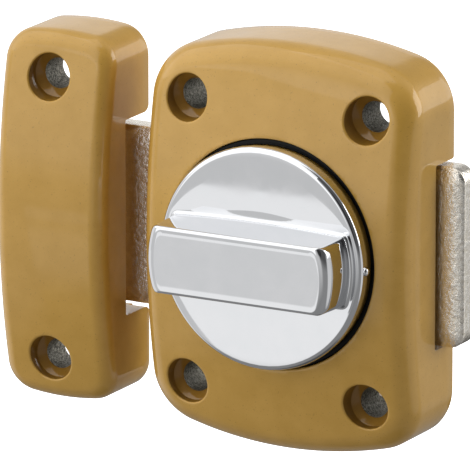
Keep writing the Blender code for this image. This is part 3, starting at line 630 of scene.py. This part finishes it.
def hub_cutters(hub_back):
    """The spindle's square socket, the drive pin's hole and the circlip's groove."""
    socket = box_cutter((-SOCKET_HALF, -SOCKET_HALF, hub_back - MM), (SOCKET_HALF, SOCKET_HALF, SOCKET_DEPTH))
    past_hub = HUB_RADIUS + MM
    section = arc((0.0, -middle_of("drive_pin").y), DRIVE_PIN_RADIUS, 0, 352.5, 47)
    hole = [[at(x, z, depth) for x, depth in section] for z in (-past_hub, past_hub)]
    start, end = HUB_GROOVE
    groove = ((HUB_GROOVE_RADIUS, start), (HUB_GROOVE_RADIUS, end), (past_hub, end), (past_hub, start))
    return [socket, finish_mesh(skin(hole), "cutter"), turned("cutter", groove)]


def dimple_cutter(z, disc_back):
    """The hollow in the disc's back that the detent ball drops into."""
    centre = disc_back - DIMPLE_LIFT
    rings = []
    for turn in (-60, -30, 0, 30, 50, 62, 70, 78, 85):
        reach = DIMPLE_RADIUS * math.cos(math.radians(turn))
        rings.append(circle(reach, centre + DIMPLE_RADIUS * math.sin(math.radians(turn)), 48, (0.0, z)))
    return finish_mesh(skin(rings), "cutter")


def build_nib():
    """The small pip on the disc's side wall that shows which way the bolt lies."""
    low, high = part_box("thumb_knob")
    radius = (high.z - low.z) / 2
    rings = []
    for rise, size in ((-0.3, 1.0), (0.12, 0.98), (0.4, 0.86), (0.6, 0.62), (0.7, 0.3)):
        section = arc((0.0, NIB_DEPTH), NIB_RADIUS * size, 0, 345, 23)
        rings.append([at(radius + rise * MM, z, depth) for z, depth in section])
    return new_object("knob_nib", finish_mesh(skin(rings), "knob_nib", 60.0))


def build_recess_ring():
    low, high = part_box("recess_ring")
    outer = (high.x - low.x) / 2
    top, floor = -low.y, -high.y
    cut_back = 0.3 * RING_EASE
    profile = [(outer - RING_EASE, top), (outer - cut_back, top - cut_back), (outer, top - RING_EASE)]
    profile += [(outer, floor), (RING_INNER_RADIUS, floor)]
    profile += [(RING_INNER_RADIUS, top - RING_EASE), (RING_INNER_RADIUS + RING_EASE, top)]
    return new_object("black_ring", turned("black_ring", profile, 192))


# ---------------------------------------------------------------------------------------------- bolt


def bolt_outline(low, high, inset):
    """Points round a rectangle with round corners, moved in by inset."""
    corner = max(BOLT_CORNER - inset, 0.25 * MM)
    centre_x, centre_z = (low.x + high.x) / 2, (low.z + high.z) / 2
    flat_x = (high.x - low.x) / 2 - BOLT_CORNER
    flat_z = (high.z - low.z) / 2 - BOLT_CORNER
    half_x = (high.x - low.x) / 2 - inset
    half_z = (high.z - low.z) / 2 - inset
    inner_x, inner_z = half_x - corner, half_z - corner
    side_steps, top_steps = int(flat_z / BOLT_SPACING), int(flat_x / BOLT_SPACING)
    quarter = [(half_x, inner_z * i / side_steps) for i in range(side_steps)]
    quarter += arc((inner_x, inner_z), corner, 0, 90, 8)[:-1]
    quarter += [(inner_x * (1 - i / top_steps), half_z) for i in range(top_steps + 1)]
    half = quarter + [(-x, z) for x, z in reversed(quarter[:-1])]
    full = half + [(x, -z) for x, z in reversed(half[1:-1])]
    return [(centre_x + x, centre_z + z) for x, z in full]


def build_bolt():
    """A rough-cast bar with round edges; the CAD bolt's window and slots are cut through it."""
    low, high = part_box("bolt")
    back, front = -high.y, -low.y
    insets = [0.7 * MM * i for i in range(1, 24)]
    levels = [(BOLT_BACK_EDGE + inset, back) for inset in reversed(insets)]
    for turn in (0, 30, 60, 90):
        inset = BOLT_BACK_EDGE * (1 - math.sin(math.radians(turn)))
        levels.append((inset, back + BOLT_BACK_EDGE * (1 - math.cos(math.radians(turn)))))
    side_low, side_high = back + BOLT_BACK_EDGE, front - BOLT_ROUND_DEPTH
    levels += [(0.0, side_low + (side_high - side_low) * i / 5) for i in range(1, 6)]
    steps = 14
    for i in range(1, steps + 1):
        turn = math.pi / 2 * i / steps
        levels.append((BOLT_ROUND * (1 - math.cos(turn)), front - BOLT_ROUND_DEPTH * (1 - math.sin(turn))))
    levels += [(BOLT_ROUND + inset, front) for inset in insets]
    rings = [[at(x, z, depth) for x, z in bolt_outline(low, high, inset)] for inset, depth in levels]
    bm = skin(rings, fan_ends=False)
    bmesh.ops.recalc_face_normals(bm, faces=bm.faces)
    bm.normal_update()
    for vert in bm.verts:
        rough = noise.noise(vert.co / (1.3 * MM)) + 0.6 * noise.noise(vert.co / (0.6 * MM))
        vert.co += vert.normal * (rough * 0.035 - 0.05) * MM
    bolt = new_object("bolt_bar", finish_mesh(bm, "bolt_bar"))

    cut(bolt, [window_cutter(front), pin_slot_cutter(-1, front), pin_slot_cutter(1, front)])
    resmooth(bolt, 40.0)
    return bolt


def pin_slot_cutter(lift, front):
    """The slot of the upper (1) or lower (-1) guide pin, as long as the bolt's travel."""
    pin = middle_of("guide_pin_upper")
    travel = next(j["range_m"][1] for j in frame["joints"] if j["name"] == "bolt_slide")
    outline = arc((pin.x + 0.2 * MM, lift * pin.z), PIN_SLOT_RADIUS, -90, 90, 12)
    outline += arc((pin.x - travel - 0.15 * MM, lift * pin.z), PIN_SLOT_RADIUS, 90, 270, 12)
    rings = [[at(x, z, depth) for x, z in outline] for depth in (0.0, front + MM)]
    return finish_mesh(skin(rings, fan_ends=False), "cutter")


def window_cutter(front):
    """The window with its rack teeth, a rack tooth over the knob's axis."""
    pitch = math.pi * RACK_MODULE
    slope = math.tan(math.radians(20.0))
    addendum, dedendum = 0.8 * RACK_MODULE, 1.1 * RACK_MODULE
    tip, root = RACK_PITCH_LINE - addendum, RACK_PITCH_LINE + dedendum
    half_tip = pitch / 4 - addendum * slope
    half_root = pitch / 4 + dedendum * slope
    left, right = WINDOW_X
    outline = [(right, WINDOW_BOTTOM), (right, root)]
    first = math.ceil((left + half_root) / pitch)
    last = math.floor((right - half_root) / pitch)
    for tooth in range(last, first - 1, -1):
        centre = tooth * pitch
        for offset, z in ((half_root, root), (half_tip, tip), (-half_tip, tip), (-half_root, root)):
            outline.append((centre + offset, z))
    outline += [(left, root), (left, WINDOW_BOTTOM)]
    rings = [[at(x, z, depth) for x, z in outline] for depth in (0.0, front + MM)]
    return finish_mesh(skin(rings, fan_ends=False), "cutter")


# ---------------------------------------------------------------------------------------------- materials


class Nodes:
    """A few words for building one material's nodes."""

    def __init__(self, name):
        self.material = bpy.data.materials.new(name)
        self.material.use_nodes = True
        self.tree = self.material.node_tree
        self.shader = self.tree.nodes["Principled BSDF"]
        self.place = self.tree.nodes.new("ShaderNodeTexCoord").outputs["Object"]

    def link(self, source, target):
        self.tree.links.new(source, target)

    def noise(self, scale, detail=3.0, roughness=0.5):
        node = self.tree.nodes.new("ShaderNodeTexNoise")
        node.inputs["Scale"].default_value = scale
        node.inputs["Detail"].default_value = detail
        node.inputs["Roughness"].default_value = roughness
        self.link(self.place, node.inputs["Vector"])
        return node.outputs["Fac"]

    def ramp(self, source, stops):
        node = self.tree.nodes.new("ShaderNodeValToRGB")
        while len(node.color_ramp.elements) < len(stops):
            node.color_ramp.elements.new(0.5)
        for element, (position, colour) in zip(node.color_ramp.elements, stops):
            element.position = position
            element.color = (*colour, 1.0)
        self.link(source, node.inputs["Fac"])
        return node.outputs["Color"]

    def span(self, source, low, high, from_low=0.0, from_high=1.0):
        node = self.tree.nodes.new("ShaderNodeMapRange")
        node.inputs["From Min"].default_value = from_low
        node.inputs["From Max"].default_value = from_high
        node.inputs["To Min"].default_value = low
        node.inputs["To Max"].default_value = high
        self.link(source, node.inputs["Value"])
        return node.outputs["Result"]

    def mix(self, factor, a, b, mode="MIX"):
        node = self.tree.nodes.new("ShaderNodeMix")
        node.data_type = "RGBA"
        node.blend_type = mode
        for socket, value in ((node.inputs["Factor"], factor), (node.inputs[6], a), (node.inputs[7], b)):
            if isinstance(value, bpy.types.NodeSocket):
                self.link(value, socket)
            elif isinstance(value, tuple):
                socket.default_value = (*value, 1.0)
            else:
                socket.default_value = value
        return node.outputs[2]

    def bump(self, height, strength, distance, under=None):
        node = self.tree.nodes.new("ShaderNodeBump")
        node.inputs["Strength"].default_value = strength
        node.inputs["Distance"].default_value = distance
        self.link(height, node.inputs["Height"])
        if under is not None:
            self.link(under, node.inputs["Normal"])
        return node.outputs["Normal"]

    def set(self, name, value):
        if isinstance(value, bpy.types.NodeSocket):
            self.link(value, self.shader.inputs[name])
        else:
            self.shader.inputs[name].default_value = value


def gold_paint(name="gold_gloss_paint", lean=(0.570, 0.326, 0.060), full=(0.620, 0.360, 0.075)):
    """Gloss ochre paint: slight drift of tone, fine dust specks, and a trace of orange peel."""
    n = Nodes(name)
    colour = n.mix(n.span(n.noise(150.0, 5.0, 0.6), 0.0, 1.0, 0.35, 0.65), lean, full)
    dust, clear = (0.0, 0.0, 0.0), (1.0, 1.0, 1.0)
    specks = n.ramp(n.noise(2600.0, 1.0), [(0.0, dust), (0.27, dust), (0.31, clear)])
    n.set("Base Color", n.mix(0.2, colour, specks, "MULTIPLY"))
    n.set("Metallic", 0.15)
    n.set("Roughness", n.span(n.noise(160.0, 3.0), 0.42, 0.52, 0.3, 0.7))
    n.set("Specular IOR Level", 0.1)
    n.set("Coat Weight", 0.9)
    n.set("Coat Roughness", 0.05)
    peel = n.bump(n.noise(420.0, 2.0), 0.06, 0.00006)
    n.set("Normal", n.bump(n.noise(90.0, 2.0), 0.05, 0.0002, peel))
    n.link(peel, n.shader.inputs["Coat Normal"])
    return n.material


def raw_casting():
    n = Nodes("raw_casting")
    grain = n.noise(2200.0, 4.0, 0.7)
    n.set("Base Color", n.ramp(grain, [(0.4, (0.06, 0.055, 0.04)), (0.66, (0.56, 0.54, 0.46))]))
    n.set("Metallic", 0.9)
    n.set("Roughness", n.span(grain, 0.25, 0.5))
    n.set("Normal", n.bump(grain, 0.9, 0.0004))
    return n.material


def chrome():
    n = Nodes("bright_chrome")
    haze = n.noise(240.0, 3.0)
    n.set("Base Color", n.ramp(haze, [(0.3, (0.69, 0.70, 0.715)), (0.7, (0.71, 0.715, 0.73))]))
    n.set("Metallic", 1.0)
    n.set("Roughness", n.span(haze, 0.02, 0.045, 0.3, 0.7))
    n.set("Normal", n.bump(n.noise(60.0, 1.0), 0.02, 0.0002))
    return n.material


def rough_nickel():
    """Nickel over a rough casting: warm, with a pebbled grain that catches the light."""
    n = Nodes("rough_nickel")
    coarse = n.noise(1000.0, 4.0, 0.65)
    fine = n.noise(3600.0, 2.0)
    n.set("Base Color", n.ramp(coarse, [(0.3, (0.84, 0.77, 0.65)), (0.62, (0.99, 0.95, 0.87))]))
    n.set("Metallic", 0.95)
    n.set("Roughness", n.span(coarse, 0.14, 0.24, 0.3, 0.7))
    n.set("Normal", n.bump(coarse, 0.45, 0.0004, n.bump(fine, 0.4, 0.0001)))
    return n.material


def plain_metal(name, dark, light, roughness, grain=700.0):
    n = Nodes(name)
    tone = n.noise(grain, 4.0, 0.6)
    n.set("Base Color", n.ramp(tone, [(0.3, dark), (0.7, light)]))
    n.set("Metallic", 1.0)
    n.set("Roughness", n.span(tone, roughness * 0.8, roughness * 1.25, 0.3, 0.7))
    n.set("Normal", n.bump(tone, 0.12, 0.0001))
    return n.material


def plain_plastic(name, dark, light, roughness, specular=0.5):
    n = Nodes(name)
    tone = n.noise(500.0, 3.0)
    n.set("Base Color", n.ramp(tone, [(0.3, dark), (0.7, light)]))
    n.set("Roughness", n.span(tone, roughness * 0.85, roughness * 1.15, 0.3, 0.7))
    n.set("Specular IOR Level", specular)
    n.set("Normal", n.bump(tone, 0.1, 0.0001))
    return n.material


def dress_cad(node, made):
    piece = frame["nodes"][node]
    piece.data.materials.clear()
    piece.data.materials.append(made)


# ---------------------------------------------------------------------------------------------- stage

VIEW_AZIMUTH = 28.95
VIEW_ELEVATION = 14.68
VIEW_DISTANCE = 1.7606
LENS = 651.3
LOOK_AT = Vector((-0.02012, 0.0, -0.00333))
FLOOR_DROP = 0.12
FLOOR_GLOW = 0.9
CARD_X = (-0.012, 0.045)
CARD_Z = (-0.075, -0.028)
CARD_DEPTH = -0.085


def direction(azimuth, elevation):
    """Unit vector from the object towards an azimuth (0 is the room side, positive to the right)."""
    a, e = math.radians(azimuth), math.radians(elevation)
    return Vector((math.sin(a) * math.cos(e), -math.cos(a) * math.cos(e), math.sin(e)))


def make_camera():
    data = bpy.data.cameras.new("camera")
    data.lens = LENS
    data.clip_end = 50.0
    camera = bpy.data.objects.new("camera", data)
    back = direction(VIEW_AZIMUTH, VIEW_ELEVATION)
    camera.location = LOOK_AT + back * VIEW_DISTANCE
    camera.rotation_euler = back.to_track_quat("Z", "Y").to_euler()
    bpy.context.scene.collection.objects.link(camera)
    bpy.context.scene.camera = camera


def soft_box(name, azimuth, elevation, distance, size, radiance):
    """A rectangular light aimed at the object; radiance is what a mirror would show of it."""
    data = bpy.data.lights.new(name, "AREA")
    data.shape = "RECTANGLE"
    data.size, data.size_y = size
    data.energy = radiance * math.pi * size[0] * size[1]
    light = bpy.data.objects.new(name, data)
    towards = direction(azimuth, elevation)
    light.location = towards * distance
    light.rotation_euler = towards.to_track_quat("Z", "Y").to_euler()
    light.visible_camera = False
    bpy.context.scene.collection.objects.link(light)


class Sky:
    """The studio's light from each direction, laid down in layers over an even tone."""

    def __init__(self):
        world = bpy.data.worlds.new("studio")
        bpy.context.scene.world = world
        world.use_nodes = True
        self.tree = world.node_tree
        self.place = self.tree.nodes.new("ShaderNodeTexCoord").outputs["Generated"]
        self.level = None

    def math(self, operation, a, b):
        node = self.tree.nodes.new("ShaderNodeMath")
        node.operation = operation
        for socket, value in zip(node.inputs, (a, b)):
            if isinstance(value, bpy.types.NodeSocket):
                self.tree.links.new(value, socket)
            else:
                socket.default_value = value
        return node.outputs["Value"]

    def step(self, value, start, end):
        node = self.tree.nodes.new("ShaderNodeMapRange")
        node.interpolation_type = "SMOOTHSTEP"
        node.inputs["From Min"].default_value = start
        node.inputs["From Max"].default_value = end
        self.tree.links.new(value, node.inputs["Value"])
        return node.outputs["Result"]

    def along(self, towards):
        node = self.tree.nodes.new("ShaderNodeVectorMath")
        node.operation = "DOT_PRODUCT"
        self.tree.links.new(self.place, node.inputs[0])
        node.inputs[1].default_value = towards
        return node.outputs["Value"]

    def cone(self, azimuth, elevation, inner, outer):
        """1 within inner degrees of a direction, 0 beyond outer."""
        dot = self.along(direction(azimuth, elevation))
        return self.step(dot, math.cos(math.radians(outer)), math.cos(math.radians(inner)))

    def above(self, low, high):
        """0 under the elevation low, 1 over the elevation high."""
        dot = self.along(Vector((0.0, 0.0, 1.0)))
        return self.step(dot, math.sin(math.radians(low)), math.sin(math.radians(high)))

    def left_of(self, azimuth, width):
        """1 where the azimuth is further left, on the room side."""
        dot = self.along(direction(azimuth - 90.0, 0.0))
        return self.step(dot, 0.0, math.sin(math.radians(width)))

    def lay(self, level, *masks):
        if self.level is None:
            self.level = self.math("ADD", 0.0, level)
            return
        mask = masks[0]
        for other in masks[1:]:
            mask = self.math("MULTIPLY", mask, other)
        change = self.math("MULTIPLY", mask, self.math("SUBTRACT", level, self.level))
        self.level = self.math("ADD", self.level, change)

    def finish(self):
        background = self.tree.nodes["Background"]
        background.inputs["Color"].default_value = (1.0, 1.0, 1.0, 1.0)
        self.tree.links.new(self.level, background.inputs["Strength"])


def make_sky():
    sky = Sky()
    sky.lay(0.1)
    sky.lay(0.28, sky.above(-78.0, -62.0))
    sky.lay(0.68, sky.above(-26.0, -6.0))
    sky.lay(0.9, sky.cone(-146.0, 15.0, 14.0, 34.0), sky.above(-4.0, 8.0))
    sky.lay(0.25, sky.cone(178.0, 36.0, 12.0, 26.0))
    sky.lay(0.3, sky.cone(58.0, -12.0, 20.0, 40.0))
    sky.lay(0.1, sky.cone(52.0, 28.0, 30.0, 54.0), sky.above(-8.0, 4.0))
    sky.lay(0.04, sky.cone(29.0, 17.0, 13.0, 20.0))
    sky.lay(0.42, sky.cone(-30.0, 25.0, 10.0, 22.0))
    sky.lay(0.97, sky.cone(-84.0, -10.0, 25.0, 40.0))
    sky.lay(1.1, sky.cone(-36.0, -15.0, 16.0, 26.0), sky.above(-27.0, -20.0))
    strip = sky.math("SUBTRACT", sky.above(-16.4, -15.2), sky.above(-14.5, -14.1))
    sky.lay(0.82, sky.cone(-36.0, -15.0, 14.0, 22.0), strip)
    panel = sky.math("SUBTRACT", sky.above(-12.6, -12.45), sky.above(4.0, 12.0))
    sky.lay(0.71, sky.cone(-40.0, -4.0, 26.0, 36.0), panel)
    sky.lay(0.71, sky.cone(-46.0, -14.0, 12.0, 20.0), sky.left_of(-33.5, 0.4))
    window = sky.math("SUBTRACT", sky.above(-9.5, -3.0), sky.above(8.0, 20.0))
    sky.lay(1.48, sky.cone(-30.0, 8.0, 20.0, 32.0), window)
    sky.lay(0.75, sky.cone(104.0, -14.0, 16.0, 28.0))
    sky.lay(0.5, sky.cone(151.0, -15.0, 8.0, 16.0))
    sky.finish()


def make_floor():
    """Pale paper far below the part. The sky stands in for the light that it would throw back."""
    bm = bmesh.new()
    bmesh.ops.create_grid(bm, x_segments=1, y_segments=1, size=6.0)
    for vert in bm.verts:
        vert.co.z = cad_low.z - FLOOR_DROP
    floor = new_object("floor", finish_mesh(bm, "floor"))
    n = Nodes("pale_floor")
    n.set("Base Color", n.ramp(n.noise(6.0, 2.0), [(0.3, (0.93, 0.93, 0.93)), (0.7, (0.95, 0.95, 0.95))]))
    n.set("Roughness", 0.9)
    n.set("Specular IOR Level", 0.1)
    n.set("Emission Color", (1.0, 1.0, 1.0, 1.0))
    n.set("Emission Strength", FLOOR_GLOW)
    floor.data.materials.append(n.material)
    floor.visible_diffuse = False
    floor.visible_glossy = False
    floor.visible_shadow = False


def make_reflection_shade_card():
    """A dark card low behind the gap between the castings, seen only in their reflections: it paints a dark
    reflection, painted shade, onto the castings' glossy sides.
    """
    bm = bmesh.new()
    left, right = CARD_X
    low, high = CARD_Z
    corners = ((left, low), (right, low), (right, high), (left, high))
    bm.faces.new([bm.verts.new(at(x, z, CARD_DEPTH)) for x, z in corners])
    card = new_object("painted_shade_card", finish_mesh(bm, "painted_shade_card"))
    n = Nodes("painted_reflection_shade")
    # near-black colour that only shows as a painted dark reflection on the castings
    n.set("Base Color", n.ramp(n.noise(6.0, 2.0), [(0.3, (0.02, 0.015, 0.01)), (0.7, (0.03, 0.02, 0.012))]))
    n.set("Roughness", 1.0)
    card.data.materials.append(n.material)
    card.visible_camera = False
    card.visible_diffuse = False
    card.visible_shadow = False


def light_studio():
    make_floor()
    make_reflection_shade_card()
    make_sky()
    make_camera()
    soft_box("key", -46.0, 43.0, 2.0, (3.6, 2.3), 0.94)
    soft_box("top", -40.0, 84.0, 1.8, (1.2, 0.9), 0.8)
    soft_box("right", 122.0, 22.0, 2.0, (1.1, 1.2), 3.4)
    soft_box("back_right", 152.0, 11.0, 1.8, (0.7, 0.7), 1.0)
    bpy.context.scene.view_settings.view_transform = "Standard"


def build_pieces():
    made = {}
    for piece, form, holes in (build_case(), build_keeper()):
        piece.data.materials.clear()
        for _ in range(3):
            piece.data.materials.append(None)
        mark_holes(piece, form, holes)
        made[piece.name] = piece
    for piece in (build_knob(), build_nib(), build_bolt(), build_recess_ring()):
        piece.data.materials.clear()
        piece.data.materials.append(None)
        made[piece.name] = piece
    for name, body, node, slot in (
        ("case_body", "case", "case_shell", "case_paint"),
        ("keeper_body", "keeper", "keeper", "keeper_paint"),
        ("knob_casting", "thumbturn", "thumb_knob", "chrome_plate"),
        ("bolt_bar", "bolt", "bolt", "nickel_plate"),
        ("black_ring", "case", "recess_ring", "black_plastic"),
    ):
        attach(made[name], body)
        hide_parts(node)
    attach(made["knob_nib"], "thumbturn")
    return made


def dress(made):
    """Gives every piece and every CAD node that stays its material."""
    steel = plain_metal("machined_steel", (0.34, 0.34, 0.35), (0.46, 0.46, 0.47), 0.34)
    sheet = plain_metal("zinc_plated_sheet", (0.50, 0.51, 0.50), (0.68, 0.69, 0.68), 0.36, 260.0)
    screw = plain_metal("zinc_plated_screw", (0.55, 0.54, 0.47), (0.70, 0.69, 0.62), 0.28)
    spring = plain_metal("dark_spring_steel", (0.22, 0.22, 0.23), (0.36, 0.36, 0.37), 0.32)
    brass = plain_metal("machined_brass", (0.60, 0.42, 0.16), (0.74, 0.56, 0.26), 0.32)
    nylon = plain_plastic("natural_nylon", (0.70, 0.69, 0.63), (0.80, 0.79, 0.74), 0.5)
    black = plain_plastic("black_ring_plastic", (0.003, 0.003, 0.003), (0.007, 0.007, 0.007), 0.45, 0.15)
    paint = gold_paint()
    # A darker copy of the gold paint for the counterbores: painted shade, the paint itself is the same.
    bore_shade_paint = gold_paint("gold_paint_painted_shade_in_bores", (0.31, 0.160, 0.022), (0.36, 0.190, 0.030))
    raw, bright, nickel = raw_casting(), chrome(), rough_nickel()
    for name, slots in (
        ("case_body", (paint, raw, bore_shade_paint)),
        ("keeper_body", (paint, raw, bore_shade_paint)),
        ("knob_casting", (bright,)),
        ("knob_nib", (bright,)),
        ("bolt_bar", (nickel,)),
        ("black_ring", (black,)),
    ):
        for i, material in enumerate(slots):
            made[name].data.materials[i] = material
    for node, material in (
        ("back_plate", sheet),
        ("hub_bush", nylon),
        ("spindle", steel),
        ("drive_pin", steel),
        ("pinion", brass),
        ("hub_circlip", spring),
        ("thrust_washer", spring),
        ("detent_spring", spring),
        ("detent_ball", steel),
        ("guide_pin_upper", steel),
        ("guide_pin_lower", steel),
    ):
        dress_cad(node, material)
    for number in range(1, 5):
        dress_cad(f"back_plate_screw_{number}", screw)


pieces = build_pieces()
dress(pieces)
light_studio()
